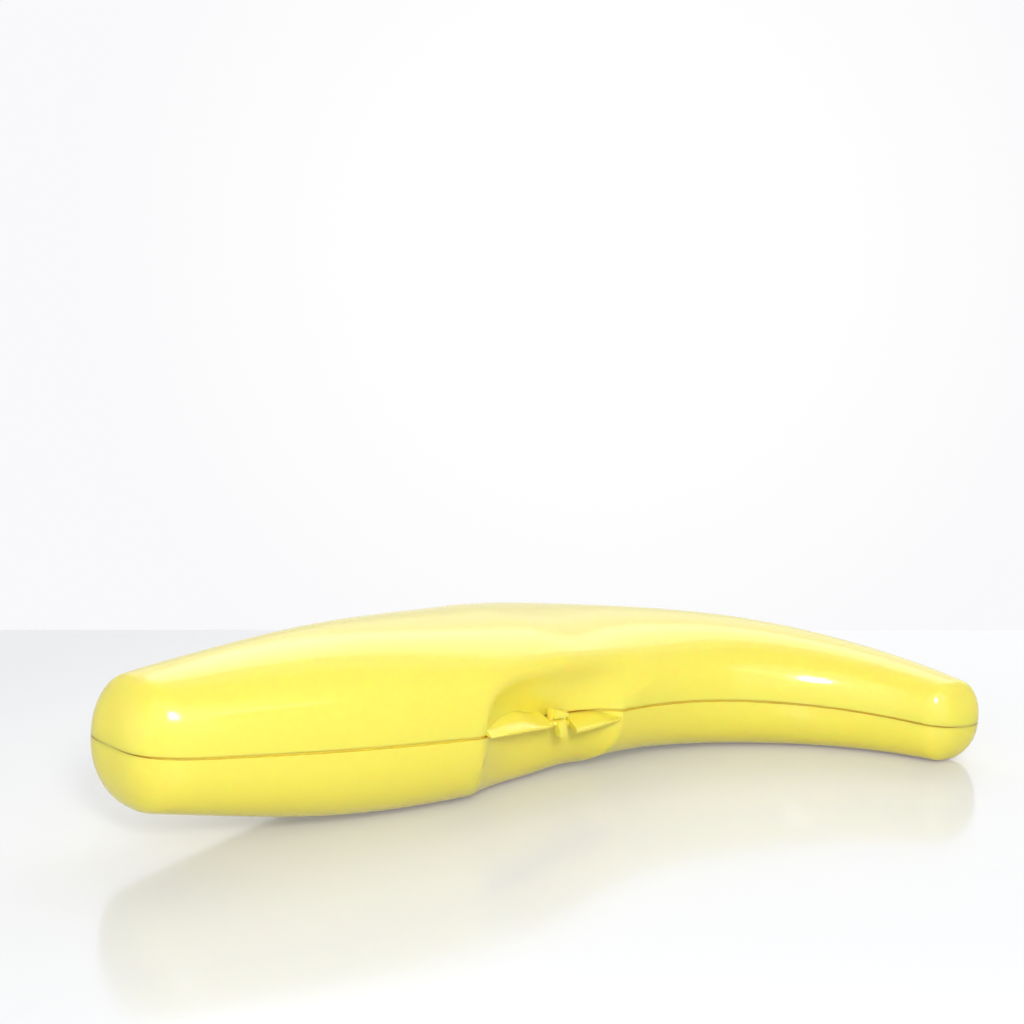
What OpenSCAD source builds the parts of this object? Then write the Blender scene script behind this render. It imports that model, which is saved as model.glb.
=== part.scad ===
// Banana carrying case: two moulded half shells on a pinned hinge, held shut by a clasp between two push tabs.
// Units are millimetres. The case is drawn with its parting plane at z = 0 and then set down on the table.

/* [Plan] */
// Radius of the round back
back_r = 106; // [98:0.5:114]
// Length of the straight back behind the wide end
straight_l = 116; // [108:0.5:124]
// Angle that the round back turns through
bend = 102.5; // [98:0.5:107]
// Width at the blunt wide end
end_w = 27.5; // [25:0.5:30]
// Width at the shoulder
shoulder_w = 54; // [50:0.5:58]
// Width at the belly, the widest place
belly_w = 65.5; // [61:0.5:70]
// Width behind the right push tab
waist_w = 59.5; // [56:0.5:63]
// Width half way along the curved arm
arm_w = 42.5; // [39:0.5:46]
// Width at the blunt tip
tip_w = 19; // [17:0.5:23]

/* [Thickness] */
// Thickness at the wide end, both shells together
end_t = 33.5; // [30:0.5:36]
// Thickness at the shoulder
shoulder_t = 46.5; // [43:0.5:50]
// Thickness at the belly
belly_t = 45.5; // [42:0.5:49]
// Thickness behind the right push tab
waist_t = 38; // [35:0.5:41]
// Thickness half way along the arm
arm_t = 33.5; // [31:0.5:36]
// Thickness at the tip
tip_t = 24; // [21:0.5:27]
// Wall of both shells
wall = 2.1; // [1.8:0.1:2.6]

/* [Rim] */
// Bevel on the outer edge of each rim, which makes the parting line
rim_bevel = 0.45; // [0.3:0.05:0.7]
// Height of the locating lip of the lower shell
lip_h = 1.8; // [1.2:0.1:2.4]
// Thickness of the locating lip
lip_t = 0.85; // [0.7:0.05:1.1]
// Clearance round the locating lip
lip_gap = 0.25; // [0.15:0.05:0.4]

/* [Scoop and tabs] */
// Distance of the clasp's frame from the start of the round back
clasp_back = 12; // [8:0.5:14]
// Distance of the scoop's middle along that frame
scoop_ahead = 6.5; // [5:0.5:8]
// Half length of the finger scoop
scoop_l = 25; // [22:0.5:28]
// Height of the finger scoop above the parting plane
scoop_z = 16.4; // [15:0.2:18]
// Height of its outline below the parting plane, which runs out through the underside
scoop_low = 26; // [23:0.5:30]
// Depth of the finger scoop
scoop_d = 8.75; // [7.5:0.25:10]
// Distance of the left tab's front inward from the belly's edge, at the clasp
tab_in = 0.4; // [0.2:0.05:0.8]
// Thickness of the push tabs
tab_t = 1.8; // [1.6:0.1:2.4]
// Gap between each tab and the parting plane
tab_gap = 0.1; // [0.05:0.05:0.3]
// Distance of the clasp's middle along its frame
gap_u = 7.5; // [6.5:0.25:8.5]
// Width of the clasp between the tabs
clasp_w = 8; // [7:0.1:9]

/* [Hinge] */
// Distance of the hinge's middle from the start of the round back
hinge_at = 34; // [28:0.5:44]
// Length of the whole hinge
hinge_l = 66; // [56:0.5:80]
// Radius of the hinge knuckles
knuckle_r = 3.2; // [2.9:0.05:3.6]
// Radius of the hinge pin
pin_r = 1.25; // [1:0.05:1.5]
// Clearance between pin and the lid's knuckle
pin_gap = 0.05; // [0.03:0.01:0.09]
// Gap between neighbouring knuckles, and between knuckles and walls
hinge_gap = 0.4; // [0.3:0.05:0.6]

/* [Rest] */
// Lean of the case across its length as it lies
lean = 2.2; // [1:0.1:3]
// Depth of the flats that it rests on
flat_d = 0.4; // [0.3:0.05:0.6]

/* [Hidden] */
$fn = 64;
section_n = 2.5;
end_n = 2.4;
arch_n = 2.8;
end_round = 14;
tip_round = 12;
arc_l = back_r * bend * PI / 180;
path_l = straight_l + arc_l;
knots = [0, 0.2, 0.37, 0.55, 0.76, 1];
widths = [end_w, shoulder_w, belly_w, waist_w, arm_w, tip_w];
halves = [end_t, shoulder_t, belly_t, waist_t, arm_t, tip_t] / 2;
// Turns the plan so that the middles of the two ends lie on one line along X
lev_a = back_r - end_w / 2;
lev_c = back_r - tip_w / 2;
a0 = atan2(straight_l + lev_c * sin(bend), lev_c * cos(bend) - lev_a);

function slope(v, i) =
    i == 0 ? (v[1] - v[0]) / (knots[1] - knots[0]) :
    i == len(v) - 1 ? (v[i] - v[i - 1]) / (knots[i] - knots[i - 1]) :
    (v[i + 1] - v[i - 1]) / (knots[i + 1] - knots[i - 1]);
function hermite(v, i, q, g) =
    v[i] * (2 * q ^ 3 - 3 * q ^ 2 + 1) + slope(v, i) * g * (q ^ 3 - 2 * q ^ 2 + q)
    + v[i + 1] * (3 * q ^ 2 - 2 * q ^ 3) + slope(v, i + 1) * g * (q ^ 3 - q ^ 2);
function seat(t, i = 0) = i >= len(knots) - 2 || t <= knots[i + 1] ? i : seat(t, i + 1);
function along(v, s) =
    let (t = s / path_l, i = seat(t), g = knots[i + 1] - knots[i])
    hermite(v, i, (t - knots[i]) / g, g);
// Closing of a rounded end: 0 at the end, 1 where its rounding is over
function closing(q) = q >= 1 ? 1 : (1 - (1 - max(q, 0)) ^ end_n) ^ (1 / end_n);
function swell(s, o) = closing((s - o) / (end_round - o)) * closing((path_l - s - o) / (tip_round - o));
function back_angle(s) = s < straight_l ? a0 : a0 - (s - straight_l) / back_r * 180 / PI;
function inward(s) = [-cos(back_angle(s)), -sin(back_angle(s))];
function back_point(s) =
    back_r * [cos(back_angle(s)), sin(back_angle(s))]
    + max(straight_l - s, 0) * [-sin(a0), cos(a0)];
function shrunk(s, o) = o + (path_l - 2 * o) * s / path_l;
function power(x) = sign(x) * abs(x) ^ (2 / section_n);
// Point of the surface at depth o under the outside, at station s and section angle p, before the scoop is pressed in
function bare(s, p, o) =
    let (so = shrunk(s, o), e = swell(so, o), w = along(widths, so) / 2, h = along(halves, so) - o)
    concat(back_point(so) + inward(so) * (w - (w - o) * e * power(cos(p))), [h * e * power(sin(p))]);
function edge(s) = let (b = bare(s, 180, 0)) [b[0], b[1]];

// Frame of the clasp on the unpressed front edge: origin, direction along the edge, direction inward
clasp_s = straight_l - clasp_back;
clasp_c = edge(clasp_s);
clasp_d = edge(clasp_s + 1) - edge(clasp_s - 1);
clasp_a = atan2(clasp_d[1], clasp_d[0]);
clasp_t = [cos(clasp_a), sin(clasp_a)];
clasp_n = [-sin(clasp_a), cos(clasp_a)];
function clasp_u(b) = ([b[0], b[1]] - clasp_c) * clasp_t;
function clasp_v(b) = ([b[0], b[1]] - clasp_c) * clasp_n;
// Distance from the scoop's middle, 1 on its squarish outline of height zh
function reach(b, zh) =
    (abs((clasp_u(b) - scoop_ahead) / scoop_l) ^ arch_n + abs(b[2] / zh) ^ arch_n) ^ (1 / arch_n);
function dent(b, zh) = scoop_d * max(0, 1 - reach(b, zh) ^ 2) ^ 1.3;
// The press is full on the front of the section and fades out under it, from angle 130 to angle 60
function fade(p) = let (q = min(1, max(0, (p - 60) / 70))) q * q * (3 - 2 * q);
function pressed(b, p, zh) = concat([b[0], b[1]] + clasp_n * dent(b, zh) * fade(p), [b[2]]);
function skin(s, p, o, zh = scoop_z) = pressed(bare(s, p, o), p, zh);
function at_z(b, z) = [b[0], b[1], z];

// Stations along the path, close together at the ends and over the scoop
near_end = [0, 0.25, 0.8, 1.8, 3.4, 5.8, 9, 13];
scoop_from = straight_l - clasp_back - 1.25 * scoop_l;
scoop_to = straight_l - clasp_back + 2.7 * scoop_l;
stations = concat(near_end,
    [for (i = [1:9]) 13 + (scoop_from - 13) * i / 9],
    [for (i = [1:30]) scoop_from + (scoop_to - scoop_from) * i / 30],
    [for (i = [1:12]) scoop_to + (path_l - 12 - scoop_to) * i / 12],
    [for (i = [6:-1:0]) path_l - near_end[i]]);
ns = len(stations);
angles = concat([0.42], [for (i = [1:17]) i * 10], [179.58]);
np = len(angles);

// Closed loop of one station: outside from back to front, rim, inside from front to back, rim
function loop_up(s) = let (r = wall - lip_t - lip_gap, z = lip_h + lip_gap) concat(
    [for (p = angles) skin(s, p, 0)],
    [at_z(skin(s, 180, rim_bevel), 0), at_z(skin(s, 180, r), 0), at_z(skin(s, 180, r), z)],
    [for (i = [np - 1:-1:0]) let (b = skin(s, angles[i], wall)) at_z(b, max(b[2], z))],
    [at_z(skin(s, 0, r), z), at_z(skin(s, 0, r), 0), at_z(skin(s, 0, rim_bevel), 0)]);
function low(s, p, o) = let (b = skin(s, p, o, scoop_low)) [b[0], b[1], -b[2]];
function loop_low(s) = let (r = wall - lip_t) concat(
    [for (p = angles) low(s, p, 0)],
    [at_z(skin(s, 180, rim_bevel), 0), at_z(skin(s, 180, r), 0),
     at_z(skin(s, 180, r), lip_h), at_z(skin(s, 180, wall), lip_h)],
    [for (i = [np - 1:-1:0]) low(s, angles[i], wall)],
    [at_z(skin(s, 0, wall), lip_h), at_z(skin(s, 0, r), lip_h),
     at_z(skin(s, 0, r), 0), at_z(skin(s, 0, rim_bevel), 0)]);

// At both ends every loop shrinks to a short row of poles, one for each depth and height
function mates(a, b) = norm(a - b) < 0.0001;
function first_mate(l, j, k = 0) = mates(l[k], l[j]) ? k : first_mate(l, j, k + 1);
function tidy(tris) = [for (t = tris) if (t[0] != t[1] && t[1] != t[2] && t[2] != t[0]) t];
module lofted(loops, flip) {
    m = len(loops[0]);
    lead = [for (j = [0:m - 1]) first_mate(loops[0], j)];
    tail = [for (j = [0:m - 1]) first_mate(loops[ns - 1], j)];
    pts = [for (l = loops) each l];
    id = [for (i = [0:ns - 1]) [for (j = [0:m - 1]) i * m + (i == 0 ? lead[j] : i == ns - 1 ? tail[j] : j)]];
    tris = [for (i = [0:ns - 2]) for (j = [0:m - 1]) let (
        k = (j + 1) % m,
        a = id[i][j], b = id[i][k], c = id[i + 1][k], d = id[i + 1][j])
        each (flip ? [[a, b, c], [a, c, d]] : [[a, c, b], [a, d, c]])];
    polyhedron(points = pts, faces = tidy(tris), convexity = 6);
}

loops_low = [for (s = stations) loop_low(s)];
loops_up = [for (s = stations) loop_up(s)];

// The case settles on its belly and on its tip: the tilt that brings both to one height is found by halving
function outside(i0, i1) = [for (i = [i0:i1]) for (j = [0:np - 1]) loops_low[i][j]];
belly_pts = outside(0, 34);
tip_pts = outside(52, ns - 1);
function height(b, t) = (b[1] * sin(lean) + b[2] * cos(lean)) * cos(t) - b[0] * sin(t);
function lowest(pts, t) = min([for (b = pts) height(b, t)]);
function settle(a, b, n) = let (m = (a + b) / 2)
    n == 0 ? m : lowest(tip_pts, m) > lowest(belly_pts, m) ? settle(m, b, n - 1) : settle(a, m, n - 1);
tilt = settle(0, 9, 16);

// Hinge frame: the axis runs along the straight back, level with the parting plane
hinge_a = a0 - 90;
hinge_dir = [cos(hinge_a), sin(hinge_a)];
hinge_out = [cos(a0), sin(a0)];
axis_off = knuckle_r + hinge_gap;
hinge_c = back_point(straight_l - hinge_at) + hinge_out * axis_off;
knuckle_l = (hinge_l - 2 * hinge_gap) / 3;
web_in = wall * 0.55;

// Where the case stands: middle of its box over the origin, flats on the table
function hinge_corner(e, y, z) = concat(hinge_c + hinge_dir * e * hinge_l / 2 + hinge_out * y, [z]);
corners = concat([for (l = loops_low) for (j = [0:np - 1]) l[j]], [for (l = loops_up) for (j = [0:np - 1]) l[j]],
    [for (e = [-1, 1]) for (q = [-1, 1]) hinge_corner(e, knuckle_r, q * knuckle_r / 2)]);
function box_x(b) = b[0] * cos(tilt) + (b[1] * sin(lean) + b[2] * cos(lean)) * sin(tilt);
function box_y(b) = b[1] * cos(lean) - b[2] * sin(lean);
all_x = [for (b = corners) box_x(b)];
all_y = [for (b = corners) box_y(b)];
set_x = -(min(all_x) + max(all_x)) / 2;
set_y = -(min(all_y) + max(all_y)) / 2;
set_z = -lowest(belly_pts, tilt) - flat_d;

module set_down() {
    translate([set_x, set_y, set_z]) rotate([lean, tilt, 0]) children();
}

module at_hinge() {
    translate([hinge_c[0], hinge_c[1], 0]) rotate([0, 0, hinge_a]) children();
}

module at_clasp() {
    translate([clasp_c[0], clasp_c[1], 0]) rotate([0, 0, clasp_a]) children();
}

module block(u0, u1, n0, n1, z0, z1) {
    translate([u0, n0, z0]) cube([u1 - u0, n1 - n0, z1 - z0]);
}

// Knuckle i of three along the hinge with the web to its shell, side 1 for the lid and -1 for the lower shell
module knuckle(i, side, bore) {
    x = -hinge_l / 2 + i * (knuckle_l + hinge_gap);
    difference() {
        union() {
            translate([x, 0, 0]) rotate([0, 90, 0]) cylinder(r = knuckle_r, h = knuckle_l);
            block(x, x + knuckle_l, -axis_off - web_in, 0,
                side > 0 ? 0 : -knuckle_r, side > 0 ? knuckle_r : 0);
        }
        translate([x - 1, 0, 0]) rotate([0, 90, 0]) cylinder(r = bore, h = knuckle_l + 2);
    }
}

// The scoop's wall at the parting plane and the fronts of the tabs, as distances inward in the clasp's frame
wall_line = [for (i = [0:40])
    let (b = skin(scoop_from + (scoop_to - scoop_from) * i / 40, 180, 0)) [clasp_u(b), clasp_v(b)]];
function wall_n(u) = lookup(u, wall_line) + wall * 0.4;
function front_n(u) = let (v = u - gap_u)
    v < 0 ? tab_in + 0.03 * v : tab_in - 1.1 + 0.04 * v + 0.006 * v ^ 2;
ledge_n = 18;
// Ledge that fills the scoop from its wall out to the tabs' fronts, from u0 to u1 along the clasp
module ledge(u0, u1, z0, z1) {
    us = [for (i = [0:ledge_n]) u0 + (u1 - u0) * i / ledge_n];
    at_clasp() translate([0, 0, z0]) linear_extrude(height = z1 - z0) polygon(concat(
        [for (u = us) [u, front_n(u)]],
        [for (i = [ledge_n:-1:0]) [us[i], max(wall_n(us[i]), front_n(us[i]) + 0.3)]]));
}

// Clasp sizes in its own frame: u along the edge from the clasp's middle, n inward
half_w = clasp_w / 2;
arm_h = 0.6;
arm_z = tab_t * 0.65;
pivot_r = 1;
pivot_u = -half_w - 0.7;
pivot_n = tab_in + 1.3;
socket_r = pivot_r + pin_gap;
nose_n = pivot_n + 0.85;
nose_z = arm_z + 0.15;
nose_t = 1;
post_n = nose_n + 1.1;
post_t = 2.2;
toe_z = 3;
left_u0 = scoop_ahead - 0.96 * scoop_l;
right_u1 = scoop_ahead + 0.98 * scoop_l;

module at_gap() {
    at_clasp() translate([gap_u, 0, 0]) children();
}

module catch_post() {
    block(-2.5, half_w + 0.5, post_n, wall_n(gap_u), 0.2 - tab_t, -0.2 - tab_gap);
    block(-2.6, 2.4, post_n + 0.1, post_n + post_t, 0.1 - tab_t, nose_z + nose_t);
    block(-2.4, 2.3, nose_n, post_n + 0.5, nose_z, nose_z + nose_t - 0.1);
}

module lower_shell() {
    color("gold") difference() {
        set_down() union() {
            lofted(loops_low, true);
            ledge(gap_u + half_w, right_u1, -tab_t, -tab_gap);
            at_gap() catch_post();
            at_hinge() knuckle(0, -1, pin_r);
            at_hinge() knuckle(2, -1, pin_r);
        }
        translate([-300, -300, -40]) cube([600, 600, 40]);
    }
}

module upper_shell() {
    color("yellow") set_down() union() {
        lofted(loops_up, false);
        difference() {
            ledge(left_u0, gap_u - half_w, tab_gap, tab_t);
            at_gap() translate([pivot_u, pivot_n, -1]) cylinder(r = socket_r, h = tab_t + 2);
        }
        at_hinge() knuckle(1, 1, pin_r + pin_gap);
    }
}

module hinge_pin() {
    color("silver") set_down() at_hinge() translate([-hinge_l / 2, 0, 0]) rotate([0, 90, 0])
        cylinder(r = pin_r, h = hinge_l);
}

module latch_hook() {
    color("orange") set_down() at_gap() union() {
        translate([pivot_u, pivot_n, tab_gap]) cylinder(r = pivot_r, h = tab_t - tab_gap);
        block(pivot_u, 1, pivot_n - arm_h, pivot_n + arm_h, tab_gap + 0.05, arm_z);
        block(-1.3, 0.9, pivot_n, nose_n + 0.4, 0.3, arm_z - 0.05);
        block(-1.4, 0.95, pivot_n - 1.6, pivot_n + arm_h - 0.1, -toe_z, arm_z + 0.1);
    }
}

lower_shell();
upper_shell();
hinge_pin();
latch_hook();
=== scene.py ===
# Banana carrying case, dressed for the studio: two glossy yellow half shells, shut, lying on a white table top.
# Lengths are in millimetres until a point is put into a mesh, where mm() makes them metres.
import math
import bpy
from mathutils import Matrix, Vector


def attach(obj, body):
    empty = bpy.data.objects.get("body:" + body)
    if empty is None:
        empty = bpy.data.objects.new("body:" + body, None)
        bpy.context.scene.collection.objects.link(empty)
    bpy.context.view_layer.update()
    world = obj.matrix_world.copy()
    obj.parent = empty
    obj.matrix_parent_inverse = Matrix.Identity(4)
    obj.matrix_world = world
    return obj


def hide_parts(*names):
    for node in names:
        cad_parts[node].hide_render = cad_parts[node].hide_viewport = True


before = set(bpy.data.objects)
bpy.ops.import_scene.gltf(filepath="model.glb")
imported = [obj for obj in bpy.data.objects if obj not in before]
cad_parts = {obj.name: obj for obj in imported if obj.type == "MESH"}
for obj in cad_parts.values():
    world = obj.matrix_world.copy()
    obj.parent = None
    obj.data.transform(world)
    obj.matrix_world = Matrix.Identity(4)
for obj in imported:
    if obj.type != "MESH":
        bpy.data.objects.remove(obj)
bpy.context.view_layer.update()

# Plan of the case: straight back, round back, and widths at six places along it
BACK_R = 106.0
STRAIGHT_L = 116.0
BEND = 102.5
WIDTHS = (29.8, 54.0, 65.5, 59.5, 42.5, 17.9)
THICKNESSES = (32.2, 46.8, 45.5, 38.0, 33.5, 22.2)
KNOTS = (0.0, 0.2, 0.37, 0.55, 0.76, 1.0)
SECTION_N = 2.5
# How each blunt end closes, in plan and in height: length and squareness
END_PLAN = (24.0, 3.65)
END_RISE = (8.0, 2.0)
TIP_PLAN = (8.5, 2.3)
TIP_RISE = (6.6, 1.7)
WALL = 2.1
# The lower half is a little deeper than the lid towards the wide end
LOW_MORE = 0.04
LOW_MORE_TO = 100.0
LOW_MORE_OVER = 60.0

# Rims
SLOT_Z = 0.42
SLOT_D = 0.85
SLOT_IN = 0.1
SLOT_FLARE = 0.06
LIP_BEVEL = 0.25
LIP_H = 1.8
LIP_T = 0.85
LIP_GAP = 0.25

# Finger scoop, push tabs and clasp
CLASP_BACK = 12.0
SCOOP_AHEAD = 6.5
SCOOP_L = 25.0
SCOOP_Z = 16.4
SCOOP_LOW = 26.0
SCOOP_D = 8.75
ARCH_N = 2.8
# Softness of its edge, what is added at the top and on the right, how it runs out there, and its fade over the crown
EDGE_N = 0.9
TOP_SOFTER = 0.4
RIGHT_SOFTER = 0.7
RUN_OUT = 0.8
RUN_OUT_RISE = 1.3
SOFT_RISE = 3.0
FADE_FROM = 60.0
FADE_OVER = 70.0
# Tabs in section, and the gap between their ends that the clasp stands in
TAB_IN = 0.4
TAB_T = 1.8
TAB_GAP = 0.1
GAP_U = 7.5
CLASP_W = 8.0
# Fronts of the tabs in plan, seen from above, and how far the tabs reach in the scoop
LEFT_FLARE = 0.03
RIGHT_AHEAD = 1.1
RIGHT_FLARE = 0.04
RIGHT_BOW = 0.006
LEFT_REACH = 0.96
RIGHT_REACH = 0.98
LEFT_SLANT = 0.22
RIGHT_SLANT = 0.3
# Tops of the tabs: cut at the front, swell at the root, and how they run out at their ends
NOSE_CUT = 0.62
SWELL_N = 1.8
LEFT_ROOT = 2.0
RIGHT_MORE = 0.6
ROOT_RUN = 9.0
POINT_RUN = 8.0
POINT_CUT = 0.8

# Hinge
HINGE_AT = 34.0
HINGE_L = 66.0
KNUCKLE_R = 3.2
PIN_R = 1.25
HINGE_GAP = 0.4
WEB_IN = 0.55
BARREL_STEPS = 28
BORE_STEPS = 32
DRILL_PAST = 1.0

# How the case lies on the table: lean, tilt, and the shift of its own origin
LEAN = math.radians(2.2)
TILT = math.radians(4.164)
SET_DOWN = Vector((24.197, -60.541, 17.379))

ARC_L = BACK_R * math.radians(BEND)
PATH_L = STRAIGHT_L + ARC_L
# Direction of the straight back's outward normal, which sets the middles of both ends on one line along X
BACK_A = math.radians(118.289)
LIE = Matrix.Rotation(TILT, 3, "Y") @ Matrix.Rotation(LEAN, 3, "X")


def mm(p):
    """A point of the case's own frame, in millimetres, as it lies on the table, in metres."""
    return (LIE @ Vector(p) + SET_DOWN) / 1000


def slope(v, i):
    if i == 0:
        return (v[1] - v[0]) / (KNOTS[1] - KNOTS[0])
    if i == len(v) - 1:
        return (v[i] - v[i - 1]) / (KNOTS[i] - KNOTS[i - 1])
    return (v[i + 1] - v[i - 1]) / (KNOTS[i + 1] - KNOTS[i - 1])


def along(v, s):
    """Width or thickness at station s: a smooth curve through the values at the six places."""
    t = min(max(s / PATH_L, 0), 1)
    i = 0
    while i < len(KNOTS) - 2 and t > KNOTS[i + 1]:
        i += 1
    g = KNOTS[i + 1] - KNOTS[i]
    q = (t - KNOTS[i]) / g
    return (v[i] * (2 * q**3 - 3 * q**2 + 1) + slope(v, i) * g * (q**3 - 2 * q**2 + q)
            + v[i + 1] * (3 * q**2 - 2 * q**3) + slope(v, i + 1) * g * (q**3 - q**2))


def closing(run, how, o):
    """How far an end has opened at distance run from it, from 0 to 1."""
    q = min(max((run - o) / (how[0] - o), 0), 1)
    return (1 - (1 - q) ** how[1]) ** (1 / how[1])


def power(x):
    return math.copysign(abs(x) ** (2 / SECTION_N), x)


def bare(s, p, o):
    """Skin at depth o, station s and section angle p (0 back edge, 90 crown, 180 front edge), before the scoop."""
    so = o + (PATH_L - 2 * o) * s / PATH_L
    plan = closing(so, END_PLAN, o) * closing(PATH_L - so, TIP_PLAN, o)
    h = (along(THICKNESSES, so) / 2 - o) * closing(so, END_RISE, o) * closing(PATH_L - so, TIP_RISE, o)
    w = along(WIDTHS, so) / 2
    a = BACK_A - max(so - STRAIGHT_L, 0) / BACK_R
    run = max(STRAIGHT_L - so, 0)
    d = BACK_R - (w - (w - o) * plan * power(math.cos(math.radians(p))))
    return Vector((d * math.cos(a) - run * math.sin(BACK_A), d * math.sin(a) + run * math.cos(BACK_A),
                   h * power(math.sin(math.radians(p)))))


CLASP_S = STRAIGHT_L - CLASP_BACK
CLASP_C = bare(CLASP_S, 180, 0).to_2d()
CLASP_T = (bare(CLASP_S + 1, 180, 0) - bare(CLASP_S - 1, 180, 0)).to_2d().normalized()
CLASP_N = Vector((-CLASP_T.y, CLASP_T.x))


def clasp_point(u, n, z):
    """Point in the clasp's frame: u along the hollow side, n inward, z up from the parting plane."""
    p = CLASP_C + CLASP_T * u + CLASP_N * n
    return Vector((p.x, p.y, z))


def smooth(t):
    t = min(max(t, 0), 1)
    return t * t * (3 - 2 * t)


def dent(b, height):
    """How deep the scoop is at a point of the bare skin. Its edge is crisp on the left and below. Above the tabs it
    softens at the top and runs out slowly to the right, towards the arm."""
    u = (b.to_2d() - CLASP_C).dot(CLASP_T) - SCOOP_AHEAD
    reach, soft = SCOOP_L, EDGE_N
    if height == SCOOP_Z:
        soft += TOP_SOFTER * smooth(2 * b.z / height - 1)
        if u > 0:
            reach *= 1 + RUN_OUT * smooth(RUN_OUT_RISE * b.z / height)
            soft += RIGHT_SOFTER * smooth(u / SCOOP_L) * smooth(SOFT_RISE * b.z / height)
    r = (abs(u / reach) ** ARCH_N + abs(b.z / height) ** ARCH_N) ** (1 / ARCH_N)
    return SCOOP_D * max(0, 1 - r * r) ** soft


def skin(s, p, o, z=None, height=SCOOP_Z):
    """The skin with the scoop pressed in, fading out from angle 130 to 60, and at height z where one is given."""
    b = bare(s, p, o)
    k = CLASP_N * dent(b, height) * smooth((p - FADE_FROM) / FADE_OVER)
    b.x += k.x
    b.y += k.y
    if z is not None:
        b.z = z
    return b


def under(s, p, o):
    """The skin of the lower shell, where the scoop runs out through the underside."""
    b = skin(s, p, o, None, SCOOP_LOW)
    b.z *= -1 - LOW_MORE * smooth((LOW_MORE_TO - s) / LOW_MORE_OVER)
    return b


def deselect():
    bpy.ops.object.select_all(action="DESELECT")


def pick(o):
    """Makes o the only selected object and the active one."""
    deselect()
    o.select_set(True)
    bpy.context.view_layer.objects.active = o


def piece(name, body, material, stands_for=None, crease=35):
    """Names the active object, gives it its finish and puts it on its body."""
    o = bpy.context.active_object
    o.name = name
    o.data.name = name
    o.data.materials.clear()
    o.data.materials.append(material)
    pick(o)
    bpy.ops.object.shade_smooth_by_angle(angle=math.radians(crease))
    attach(o, body)
    if stands_for:
        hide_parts(stands_for)
    return o


def edit(o):
    pick(o)
    bpy.ops.object.mode_set(mode="EDIT")
    bpy.ops.mesh.select_all(action="SELECT")


def shaped_grid(rows, cols, place):
    """A grid primitive whose point in row i and column j goes to place(i, j), with its seams closed."""
    deselect()
    bpy.ops.mesh.primitive_grid_add(x_subdivisions=rows - 1, y_subdivisions=cols - 1, size=1, location=(0, 0, 0))
    o = bpy.context.active_object
    for v in o.data.vertices:
        i = round((v.co.x + 0.5) * (rows - 1))
        j = round((v.co.y + 0.5) * (cols - 1))
        v.co = mm(place(i, j))
    edit(o)
    bpy.ops.mesh.remove_doubles(threshold=0.000002)
    bpy.ops.mesh.dissolve_degenerate(threshold=0.000001)
    bpy.ops.mesh.select_all(action="SELECT")
    bpy.ops.mesh.normals_make_consistent(inside=False)
    bpy.ops.object.mode_set(mode="OBJECT")
    return o


def pulled(o, by):
    """Pulls a flat face out into a solid."""
    edit(o)
    bpy.ops.mesh.extrude_region_move(TRANSFORM_OT_translate={"value": by})
    bpy.ops.mesh.select_all(action="SELECT")
    bpy.ops.mesh.normals_make_consistent(inside=False)
    bpy.ops.object.mode_set(mode="OBJECT")


def combine(o, other, how):
    """Unites a solid with another one, or cuts the other one out of it."""
    m = o.modifiers.new("combine", "BOOLEAN")
    m.operation = how
    m.solver = "EXACT"
    m.object = other
    pick(o)
    bpy.ops.object.modifier_apply(modifier=m.name)
    bpy.data.objects.remove(other)


def rounded(o, width, segments=3, angle=40):
    """Rounds the edges of a piece, as its mould does, with a bevel that is applied."""
    m = o.modifiers.new("mould radius", "BEVEL")
    m.width = width / 1000
    m.segments = segments
    m.limit_method = "ANGLE"
    m.angle_limit = math.radians(angle)
    m.harden_normals = False
    pick(o)
    bpy.ops.object.modifier_apply(modifier=m.name)


# Finishes

def srgb(code):
    """Hex colour as it looks on a screen, turned to linear light."""
    c = [int(code[i:i + 2], 16) / 255 for i in (0, 2, 4)]
    return [x / 12.92 if x <= 0.04045 else ((x + 0.055) / 1.055) ** 2.4 for x in c] + [1.0]


def add(tree, kind, settings, links):
    """One node with its settings, linked as told: input name to (node, output name)."""
    n = tree.nodes.new(kind)
    for key, value in settings.items():
        if key in n.inputs:
            n.inputs[key].default_value = value
        else:
            setattr(n, key, value)
    for key, (other, out) in links.items():
        tree.links.new(other.outputs[out], n.inputs[key])
    return n


def finish_named(name):
    m = bpy.data.materials.new(name)
    m.use_nodes = True
    return m, m.node_tree, m.node_tree.nodes["Principled BSDF"]


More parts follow.
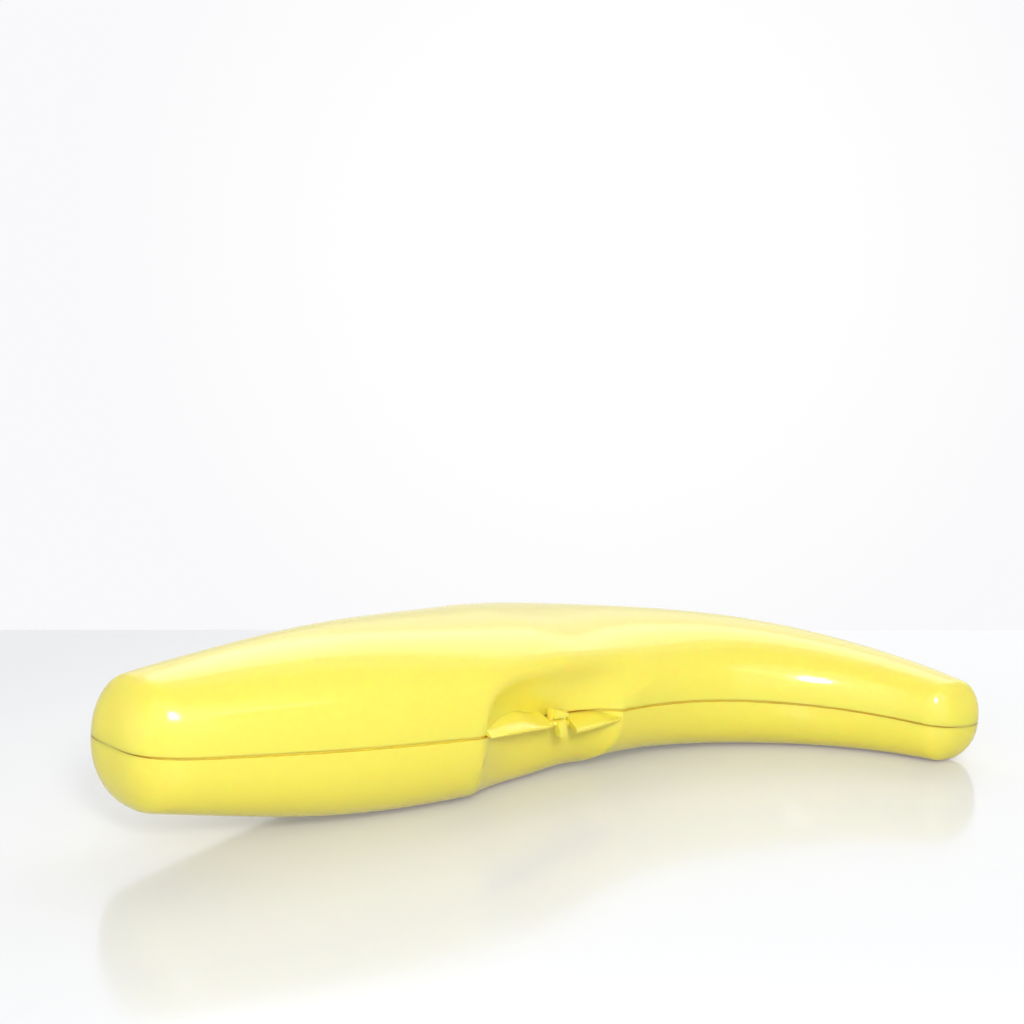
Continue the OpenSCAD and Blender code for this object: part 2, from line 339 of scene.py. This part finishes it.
def moulded_yellow_plastic():
    """Polypropylene from a polished mould: a bright yellow body under a clear gloss, with the faint waviness of a
    moulded wall and a few fine rub marks that dull the gloss in places."""
    m, tree, shader = finish_named("moulded yellow polypropylene")
    yellow = srgb("F3E252")
    shader.inputs["Base Color"].default_value = yellow
    # painted shade: where ambient occlusion finds a narrow joint, the base colour is mixed to a deep golden orange, for
    # light that has bounced through the plastic there
    open_air = add(tree, "ShaderNodeAmbientOcclusion", {"Distance": 0.0022, "samples": 8}, {})
    painted_crevice_shade = add(tree, "ShaderNodeMapRange", {"From Min": 0.08, "From Max": 0.36}, {"Value": (open_air, "AO")})
    body = add(tree, "ShaderNodeMix", {"data_type": "RGBA"}, {"Factor": (painted_crevice_shade, 0)})
    body.inputs[6].default_value = srgb("E0A410")
    body.inputs[7].default_value = yellow
    tree.links.new(body.outputs[2], shader.inputs["Base Color"])
    shader.inputs["IOR"].default_value = 1.57
    shader.inputs["Metallic"].default_value = 0
    # light goes a few millimetres into the plastic, red and green furthest, which warms its shaded places
    shader.inputs["Subsurface Weight"].default_value = 0.35
    shader.inputs["Subsurface Radius"].default_value = (1.0, 0.45, 0.1)
    shader.inputs["Subsurface Scale"].default_value = 0.004
    place = add(tree, "ShaderNodeTexCoord", {}, {})
    # rub marks about 6 mm across, in patches
    rubs = add(tree, "ShaderNodeTexNoise", {"Scale": 160, "Detail": 6, "Roughness": 0.62},
               {"Vector": (place, "Object")})
    gloss = add(tree, "ShaderNodeMapRange", {"From Min": 0.42, "From Max": 0.74, "To Min": 0.15, "To Max": 0.22},
                {"Value": (rubs, 0)})
    tree.links.new(gloss.outputs[0], shader.inputs["Roughness"])
    # waviness of the wall, about 12 mm from crest to crest
    waves = add(tree, "ShaderNodeTexNoise", {"Scale": 85, "Detail": 1}, {"Vector": (place, "Object")})
    bump = add(tree, "ShaderNodeBump", {"Strength": 0.05, "Distance": 0.0004}, {"Height": (waves, 0)})
    tree.links.new(bump.outputs[0], shader.inputs["Normal"])
    return m


def drawn_steel_wire():
    """Stainless wire cut to length for the hinge: grey, with the fine lines that the drawing die leaves along it."""
    m, tree, shader = finish_named("drawn steel wire")
    shader.inputs["Base Color"].default_value = srgb("B9BABC")
    shader.inputs["Metallic"].default_value = 1
    place = add(tree, "ShaderNodeTexCoord", {}, {})
    lines = add(tree, "ShaderNodeTexNoise", {"Scale": 900, "Detail": 2}, {"Vector": (place, "Object")})
    dull = add(tree, "ShaderNodeMapRange", {"To Min": 0.24, "To Max": 0.36}, {"Value": (lines, 0)})
    tree.links.new(dull.outputs[0], shader.inputs["Roughness"])
    return m


def seen_white(tree, shed, seen):
    """Strength of a white surround: what the eye, mirrors and glass see of it, and the light that it sheds."""
    path = add(tree, "ShaderNodeLightPath", {}, {})
    plain = add(tree, "ShaderNodeMath", {"operation": "ADD"}, {0: (path, "Is Camera Ray"), 1: (path, "Is Glossy Ray")})
    clear = add(tree, "ShaderNodeMath", {"operation": "ADD", "use_clamp": True},
                {0: (plain, 0), 1: (path, "Is Transmission Ray")})
    return add(tree, "ShaderNodeMapRange", {"To Min": shed, "To Max": seen}, {"Value": (clear, 0)})


def white_table():
    """White acrylic sheet, a little clear, so that shadows on it stay pale: with a soft mirror image of what stands
    on it."""
    m, tree, shader = finish_named("white acrylic sheet")
    shader.inputs["Base Color"].default_value = srgb("CBCCCE")
    shader.inputs["Emission Color"].default_value = srgb("FFFFFF")
    tree.links.new(seen_white(tree, 0, 0.2).outputs[0], shader.inputs["Emission Strength"])
    shader.inputs["IOR"].default_value = 1.42
    place = add(tree, "ShaderNodeTexCoord", {}, {})
    grit = add(tree, "ShaderNodeTexNoise", {"Scale": 220, "Detail": 5}, {"Vector": (place, "Object")})
    dull = add(tree, "ShaderNodeMapRange", {"To Min": 0.08, "To Max": 0.2}, {"Value": (grit, 0)})
    tree.links.new(dull.outputs[0], shader.inputs["Roughness"])
    return m


def white_paper(middle):
    """Backdrop paper, lit from behind: plain white in the middle, with painted shade that makes it a shade greyer
    towards its edges.
    """
    m = bpy.data.materials.new("white backdrop paper")
    m.use_nodes = True
    tree = m.node_tree
    tree.nodes.clear()
    place = add(tree, "ShaderNodeTexCoord", {}, {})
    # painted shade: the colour greys with distance from the middle, for light that falls off towards the edges
    far = add(tree, "ShaderNodeVectorMath", {"operation": "DISTANCE"}, {"Vector": (place, "Object")})
    far.inputs[1].default_value = middle
    fade = add(tree, "ShaderNodeMapRange", {"From Min": 0.22, "From Max": 0.5}, {"Value": (far, "Value")})
    shade = add(tree, "ShaderNodeMix", {"data_type": "RGBA"}, {"Factor": (fade, 0)})
    shade.inputs[6].default_value = srgb("FFFFFF")
    shade.inputs[7].default_value = srgb("F9F9FB")
    glow = add(tree, "ShaderNodeEmission", {}, {"Color": (shade, 2), "Strength": (seen_white(tree, ROOM, 1), 0)})
    end = tree.nodes.new("ShaderNodeOutputMaterial")
    tree.links.new(glow.outputs[0], end.inputs["Surface"])
    return m


ROOM = 0.36
YELLOW = moulded_yellow_plastic()
STEEL = drawn_steel_wire()

# Stations along the case, close together where an end rounds off, and angles round a section's two sides
NEAR_END = 14.0
END_STEPS = 18
MID_STEPS = 150
ROUND_OFF = [NEAR_END * (1 - math.cos(math.radians(90 * i / END_STEPS))) for i in range(END_STEPS + 1)]
STATIONS = ROUND_OFF[:-1]
STATIONS += [NEAR_END + (PATH_L - 2 * NEAR_END) * i / MID_STEPS for i in range(MID_STEPS)]
STATIONS += [PATH_L - s for s in reversed(ROUND_OFF)]
OUTSIDE = [0.42, 2.5] + [4 * i for i in range(2, 44)] + [177.5, 179.58]
INSIDE = [0.42] + [6 * i for i in range(1, 30)] + [179.58]


def lid_loop(s):
    """Section of the lid: outside from back to front, rim, rabbet, inside from front to back, rabbet, rim."""
    r = WALL - LIP_T - LIP_GAP
    z = LIP_H + LIP_GAP
    loop = [skin(s, p, 0) for p in OUTSIDE]
    loop += [skin(s, 180, SLOT_IN, SLOT_Z + SLOT_FLARE), skin(s, 180, SLOT_D, SLOT_Z), skin(s, 180, SLOT_D, 0),
             skin(s, 180, r, 0), skin(s, 180, r, z)]
    for p in reversed(INSIDE):
        b = skin(s, p, WALL)
        b.z = max(b.z, z)
        loop.append(b)
    loop += [skin(s, 0, r, z), skin(s, 0, r, 0), skin(s, 0, SLOT_D, 0), skin(s, 0, SLOT_D, SLOT_Z),
             skin(s, 0, SLOT_IN, SLOT_Z + SLOT_FLARE)]
    return loop


def base_loop(s):
    """Section of the lower shell, whose inner rim stands up as the locating lip."""
    r = WALL - LIP_T
    loop = [under(s, p, 0) for p in OUTSIDE]
    loop += [skin(s, 180, SLOT_IN, -SLOT_Z - SLOT_FLARE), skin(s, 180, SLOT_D, -SLOT_Z), skin(s, 180, SLOT_D, 0),
             skin(s, 180, r, 0), skin(s, 180, r, LIP_H - LIP_BEVEL), skin(s, 180, r + LIP_BEVEL, LIP_H),
             skin(s, 180, WALL, LIP_H)]
    loop += [under(s, p, WALL) for p in reversed(INSIDE)]
    loop += [skin(s, 0, WALL, LIP_H), skin(s, 0, r + LIP_BEVEL, LIP_H), skin(s, 0, r, LIP_H - LIP_BEVEL),
             skin(s, 0, r, 0), skin(s, 0, SLOT_D, 0), skin(s, 0, SLOT_D, -SLOT_Z),
             skin(s, 0, SLOT_IN, -SLOT_Z - SLOT_FLARE)]
    return loop


def half_shell(name, body, section, node):
    loops = [section(s) for s in STATIONS]
    turns = len(loops[0])
    o = shaped_grid(len(STATIONS), turns + 1, lambda i, j: loops[i][j % turns])
    # the places it rests on are flat
    for v in o.data.vertices:
        v.co.z = max(v.co.z, 0)
    return piece(name, body, YELLOW, node, 32)


half_shell("lid_shell", "lid", lid_loop, "upper_shell")
half_shell("base_shell", "base", base_loop, "lower_shell")


# Push tabs in the scoop

def scoop_wall(u):
    """Distance inward of the scoop's wall at the parting plane, found by halving along the front edge."""
    lo, hi = CLASP_S - 1.4 * SCOOP_L, CLASP_S + 2.8 * SCOOP_L
    for _ in range(30):
        mid = (lo + hi) / 2
        b = skin(mid, 180, 0).to_2d() - CLASP_C
        lo, hi = (mid, hi) if b.dot(CLASP_T) < u else (lo, mid)
    return b.dot(CLASP_N)


def tab_front(u):
    """Distance inward of the tabs' front edge: the left one flares a little, the right one is set forward and bowed."""
    v = u - GAP_U
    if v < 0:
        return TAB_IN + LEFT_FLARE * v
    return TAB_IN - RIGHT_AHEAD + RIGHT_FLARE * v + RIGHT_BOW * v * v


def push_tab(name, body, u0, u1, z0, z1, skew0, skew1, root):
    """A ledge from the scoop's wall to the tabs' front, its free end cut at a slant. Its top swells from a thin front
    edge to its root, and runs down to nothing at its pointed end."""
    cols = 60
    deep = 14

    def place(i, j):
        k = i / (cols - 1)
        q = j / (deep - 1)
        u = u0 + (u1 - u0) * k
        front = tab_front(u)
        back = max(scoop_wall(u) + 0.5 * WALL, front + 0.3)
        n = front + (back - front) * q
        return clasp_point(u + (skew0 * (1 - k) + skew1 * k) * (n - tab_front(u)), n, z0)

    o = shaped_grid(cols, deep, place)
    pulled(o, LIE @ Vector((0, 0, z1 - z0)) / 1000)
    up = LIE @ Vector((0, 0, 1)) / 1000
    cut = NOSE_CUT * (z1 - z0)
    for v in o.data.vertices:
        b = LIE.transposed() @ (v.co * 1000 - SET_DOWN)
        if b.z > (z0 + z1) / 2:
            u, n = (b.to_2d() - CLASP_C).dot(CLASP_T), (b.to_2d() - CLASP_C).dot(CLASP_N)
            flat = 1 - min(max(n - tab_front(u), 0) / SCOOP_D, 1)
            swell = cut + root * smooth((u1 - u) / ROOT_RUN)
            v.co += up * (swell * (1 - flat ** SWELL_N) - cut)
            taper = smooth((u - u0) / POINT_RUN if root else (u1 - u) / POINT_RUN)
            v.co -= up * POINT_CUT * (1 - taper) * (z1 - z0 - cut)
    rounded(o, 0.25, 4, 50)
    return piece(name, body, YELLOW)


HALF_W = CLASP_W / 2
push_tab("lid_push_tab", "lid", SCOOP_AHEAD - LEFT_REACH * SCOOP_L, GAP_U - HALF_W, TAB_GAP, TAB_T, 0, LEFT_SLANT,
         LEFT_ROOT)
push_tab("base_push_tab", "base", GAP_U + HALF_W, SCOOP_AHEAD + RIGHT_REACH * SCOOP_L, -TAB_T - RIGHT_MORE, -TAB_GAP,
         RIGHT_SLANT, 0, 0)


# Clasp: catch on the lower shell, sprung finger on the lid

def bar(u0, u1, n0, n1, z0, z1, drop=0, lean=0):
    """A cube primitive stretched between two corners of the clasp's frame, measured from the clasp's middle. Its top
    falls by drop towards u1, and its foot is set over by lean."""
    deselect()
    bpy.ops.mesh.primitive_cube_add(size=1, location=(0, 0, 0))
    o = bpy.context.active_object
    for v in o.data.vertices:
        right, top = v.co.x > 0, v.co.z > 0
        u = (u1 if right else u0) + (0 if top else lean)
        z = (z1 - (drop if right else 0)) if top else z0
        v.co = mm(clasp_point(GAP_U + u, n1 if v.co.y > 0 else n0, z))
    return o


def joined(parts):
    """Unites overlapping blocks into one closed solid."""
    first = parts[0]
    for other in parts[1:]:
        combine(first, other, "UNION")
    return first


ARM_H = 0.6
ARM_Z = TAB_T * 0.65
PIVOT_U = -HALF_W - 0.7
PIVOT_N = TAB_IN + 1.3
NOSE_N = PIVOT_N + 0.85
NOSE_Z = ARM_Z + 0.15
POST_N = NOSE_N + 1.1
POST_T = 2.2
TOE_Z = 3.0
CATCH_Z = 3.6
CATCH_DROP = 1.1
CATCH_U = (-1.6, 3.4)
FOOT_U = (-2.5, HALF_W + 0.5)
FOOT_IN = 0.8
FOOT_THIN = 0.2
ARM_TO = 1.0
HOOK_U = (-1.3, 0.9)
HOOK_OVER = 0.4
HOOK_FOOT = 0.3
TOE_U = (-2.2, 0.5)
TOE_AHEAD = 1.6
TOE_LEAN = 0.9
TOE_DROP = 0.4
# how far one block of a piece reaches into the next
LAP = 0.1

catch = joined([bar(*FOOT_U, POST_N, scoop_wall(GAP_U) + FOOT_IN, FOOT_THIN - TAB_T, -FOOT_THIN - TAB_GAP),
                bar(*CATCH_U, POST_N + LAP, POST_N + POST_T, LAP - TAB_T, CATCH_Z, CATCH_DROP),
                bar(CATCH_U[0] + LAP, CATCH_U[1] - LAP, NOSE_N, POST_N + 0.5, NOSE_Z, CATCH_Z - LAP, CATCH_DROP)])
rounded(catch, 0.28, 3, 50)
piece("clasp_catch", "base", YELLOW)

finger = joined([bar(PIVOT_U, ARM_TO, PIVOT_N - ARM_H, PIVOT_N + ARM_H, TAB_GAP + LAP / 2, ARM_Z),
                 bar(*HOOK_U, PIVOT_N, NOSE_N + HOOK_OVER, HOOK_FOOT, ARM_Z - LAP / 2),
                 bar(*TOE_U, PIVOT_N - TOE_AHEAD, PIVOT_N + ARM_H - LAP, -TOE_Z, ARM_Z + LAP, TOE_DROP, TOE_LEAN)])
rounded(finger, 0.25, 3, 50)
piece("clasp_finger", "latch", YELLOW, "latch_hook")


# Hinge: two outer knuckles on the lower shell, the middle one on the lid, and the wire pin

HINGE_A = BACK_A - math.pi / 2
HINGE_DIR = Vector((math.cos(HINGE_A), math.sin(HINGE_A)))
HINGE_OUT = Vector((math.cos(BACK_A), math.sin(BACK_A)))
AXIS_OFF = KNUCKLE_R + HINGE_GAP
BACK_MID = bare(STRAIGHT_L - HINGE_AT, 0, 0).to_2d()
HINGE_C = BACK_MID + HINGE_OUT * AXIS_OFF
KNUCKLE_L = (HINGE_L - 2 * HINGE_GAP) / 3


def hinge_point(x, y, z):
    p = HINGE_C + HINGE_DIR * x + HINGE_OUT * y
    return Vector((p.x, p.y, z))


def prism(outline, x0, length):
    """An outline square to the hinge, pulled along it into a solid."""
    deselect()
    bpy.ops.mesh.primitive_circle_add(vertices=len(outline), radius=1, fill_type="NGON", location=(0, 0, 0))
    o = bpy.context.active_object
    for v, (y, z) in zip(o.data.vertices, outline):
        v.co = mm(hinge_point(x0, y, z))
    pulled(o, LIE @ Vector((HINGE_DIR.x, HINGE_DIR.y, 0)) * length / 1000)
    return o


def knuckle(name, body, i, side, bore):
    """A barrel round the pin with the web that carries it, drawn as one profile and pulled along the hinge."""
    x0 = -HINGE_L / 2 + i * (KNUCKLE_L + HINGE_GAP)
    depth = AXIS_OFF + WALL * WEB_IN
    outline = [(-depth, side * KNUCKLE_R)]
    outline += [(KNUCKLE_R * math.sin(math.radians(a)), side * KNUCKLE_R * math.cos(math.radians(a)))
                for a in [270 * k / BARREL_STEPS for k in range(BARREL_STEPS + 1)]]
    outline += [(-depth, 0)]
    ring = [(bore * math.sin(2 * math.pi * k / BORE_STEPS), bore * math.cos(2 * math.pi * k / BORE_STEPS))
            for k in range(BORE_STEPS)]
    o = prism(outline, x0, KNUCKLE_L)
    combine(o, prism(ring, x0 - DRILL_PAST, KNUCKLE_L + 2 * DRILL_PAST), "DIFFERENCE")
    rounded(o, 0.3, 2, 60)
    return piece(name, body, YELLOW)


PRESSED = 0.02
RUNNING = 0.05
knuckle("base_knuckle_near_end", "base", 0, -1, PIN_R + PRESSED)
knuckle("lid_knuckle", "lid", 1, 1, PIN_R + RUNNING)
knuckle("base_knuckle_near_bow", "base", 2, -1, PIN_R + PRESSED)
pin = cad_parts["hinge_pin"]
pin.data.materials.clear()
pin.data.materials.append(STEEL)


# Camera where the photograph was taken from
VIEW_AZIMUTH = math.radians(-17.47)
camera = bpy.data.objects.new("camera", bpy.data.cameras.new("camera"))
bpy.context.scene.collection.objects.link(camera)
camera.location = Vector((-189.1, -584.7, 200.7)) / 1000
camera.rotation_euler = (math.radians(78.29), 0, VIEW_AZIMUTH)
camera.data.lens = 80.86
camera.data.sensor_width = 36
camera.data.clip_start = 0.01
bpy.context.scene.camera = camera

# Table top that ends behind the case, and a backdrop well behind it, both square to the view
TABLE_BACK = 0.768
TABLE_HALF = 2
BACKDROP_AT = 2.2
BACKDROP_HALF = 3
BACKDROP_RISE = 0.9
PAPER_MIDDLE = 0.084
across = Vector((math.cos(VIEW_AZIMUTH), math.sin(VIEW_AZIMUTH), 0))
away = Vector((-math.sin(VIEW_AZIMUTH), math.cos(VIEW_AZIMUTH), 0))
under_camera = Vector((camera.location.x, camera.location.y, 0))
foot = under_camera + away * TABLE_BACK
hang = under_camera + away * BACKDROP_AT


def sheet_of(name, corners, material):
    deselect()
    bpy.ops.mesh.primitive_plane_add(size=2, location=(0, 0, 0))
    o = bpy.context.active_object
    o.name = name
    for v, p in zip(o.data.vertices, corners):
        v.co = p
    o.data.materials.append(material)


side, back = across * TABLE_HALF, away * TABLE_HALF
sheet_of("table_top", [foot - side - back, foot + side - back, foot - side, foot + side], white_table())
side, rise = across * BACKDROP_HALF, Vector((0, 0, BACKDROP_RISE))
sheet_of("backdrop", [hang - side - rise, hang + side - rise, hang - side + rise, hang + side + rise],
         white_paper(hang + across * PAPER_MIDDLE))

# Soft studio light: a white room, two panels up behind the case that its crown mirrors, a broad front softbox, a small
# lamp that gives the highlights, low cards in front and on the left, and a strip for the fine line along the wide end
world = bpy.data.worlds.new("white room")
bpy.context.scene.world = world
world.use_nodes = True
world.node_tree.nodes["Background"].inputs["Color"].default_value = (1, 1, 1, 1)
world.node_tree.links.new(seen_white(world.node_tree, ROOM, 1).outputs[0],
                          world.node_tree.nodes["Background"].inputs["Strength"])


def lamp(name, at, aim, wide, high, watts):
    data = bpy.data.lights.new(name, "AREA")
    data.shape = "RECTANGLE"
    data.size = wide
    data.size_y = high
    data.energy = watts
    o = bpy.data.objects.new(name, data)
    bpy.context.scene.collection.objects.link(o)
    o.location = at
    o.rotation_euler = (Vector(aim) - Vector(at)).to_track_quat("-Z", "Y").to_euler()


lamp("back panel", (0.446, 0.772, 0.85), (0, 0, 0.04), 1.12, 0.69, 3.3)
lamp("wide back panel", (0.5, 0.87, 0.95), (0, 0, 0.04), 2.2, 1.9, 7)
lamp("front softbox", (-0.25, -0.95, 0.75), (0, 0, 0.02), 1.4, 0.7, 3.3)
lamp("highlight lamp", (-0.13, -0.71, 0.39), (0, 0, 0.02), 0.13, 0.16, 3.0)
lamp("low front card", (-0.28, -0.9, 0.19), (0, 0, 0.02), 1.3, 0.34, 1.1)
lamp("left card", (-0.95, -0.25, 0.25), (0, 0, 0.02), 0.9, 0.5, 0.8)
lamp("line strip", (0.26, -0.745, 0.485), (-0.08, -0.04, 0.04), 0.24, 0.03, 0.12)

bpy.context.scene.view_settings.view_transform = "Standard"
